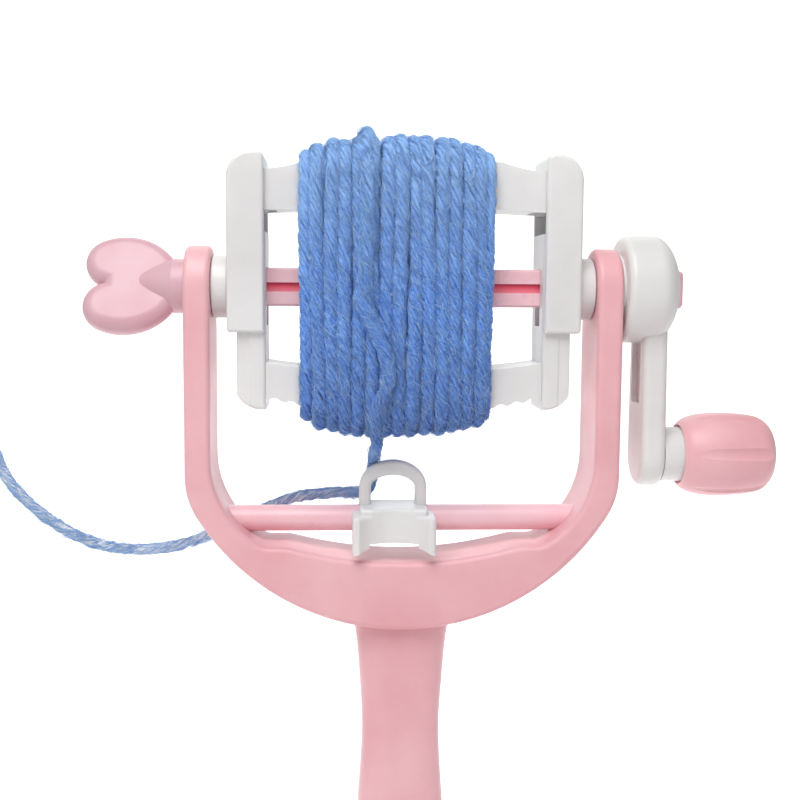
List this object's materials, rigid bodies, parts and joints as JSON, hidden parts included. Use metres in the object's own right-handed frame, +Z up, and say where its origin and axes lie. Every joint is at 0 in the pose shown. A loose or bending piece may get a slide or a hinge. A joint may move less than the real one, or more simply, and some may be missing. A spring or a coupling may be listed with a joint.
{
  "type": "hand-held yarn ball winder",
  "caption": "Hand-held yarn winder: handled fork, crank-driven flat reel with a wound cake of yarn, and a yarn guide that slides on a rod.",
  "frame": {"origin": "middle of the grip, on the fork's middle plane, 160 mm below the spindle's axis", "axes": "+Z up the handle and the fork, +X along the spindle towards the crank, +Y away from the thumb's side of the guide"},
  "size_m": [0.2755, 0.0404, 0.2603],
  "materials": {
    "pink_plastic": "satin, pale pink, moulded",
    "white_plastic": "satin, off-white, moulded",
    "screw_steel": "zinc plated",
    "blue_yarn": "soft acrylic yarn, loosely twisted"
  },
  "bodies": {
    "frame": {"fork_frame": "pink_plastic", "handle": "pink_plastic", "guide_rod": "pink_plastic"},
    "rotor": {"left_bush": "white_plastic", "crank_collar": "white_plastic", "crank_arm": "white_plastic", "knob_spindle": "white_plastic", "knob_washer": "screw_steel", "knob_screw": "screw_steel", "upper_cheek_left": "white_plastic", "upper_cheek_right": "white_plastic", "upper_bar": "white_plastic", "yarn_cake": "blue_yarn"},
    "reel_lower": {"lower_cheek_left": "white_plastic", "lower_cheek_right": "white_plastic", "lower_bar": "white_plastic"},
    "heart_pin": {"heart_knob": "pink_plastic", "spindle_bar": "pink_plastic"},
    "knob": {"crank_knob": "pink_plastic", "knob_cap": "pink_plastic"},
    "guide": {"yarn_guide": "white_plastic", "free_yarn": "blue_yarn", "yarn_end_knot": "blue_yarn"}
  },
  "joints": [
    {"name": "rotor_spin", "type": "hinge", "parent": "frame", "child": "rotor", "pos_m": [0, 0, 0.16], "axis": [1, 0, 0], "continuous": true},
    {"name": "knob_spin", "type": "hinge", "parent": "rotor", "child": "knob", "pos_m": [0.11, 0, 0.1045], "axis": [1, 0, 0], "continuous": true},
    {"name": "reel_collapse", "type": "slide", "parent": "rotor", "child": "reel_lower", "axis": [0, 0, 1], "range_m": [0, 0.006]},
    {"name": "pin_pull", "type": "slide", "parent": "rotor", "child": "heart_pin", "axis": [-1, 0, 0], "range_m": [0, 0.158]},
    {"name": "guide_slide", "type": "slide", "parent": "frame", "child": "guide", "axis": [1, 0, 0], "range_m": [-0.0278, 0.0342]}
  ]
}
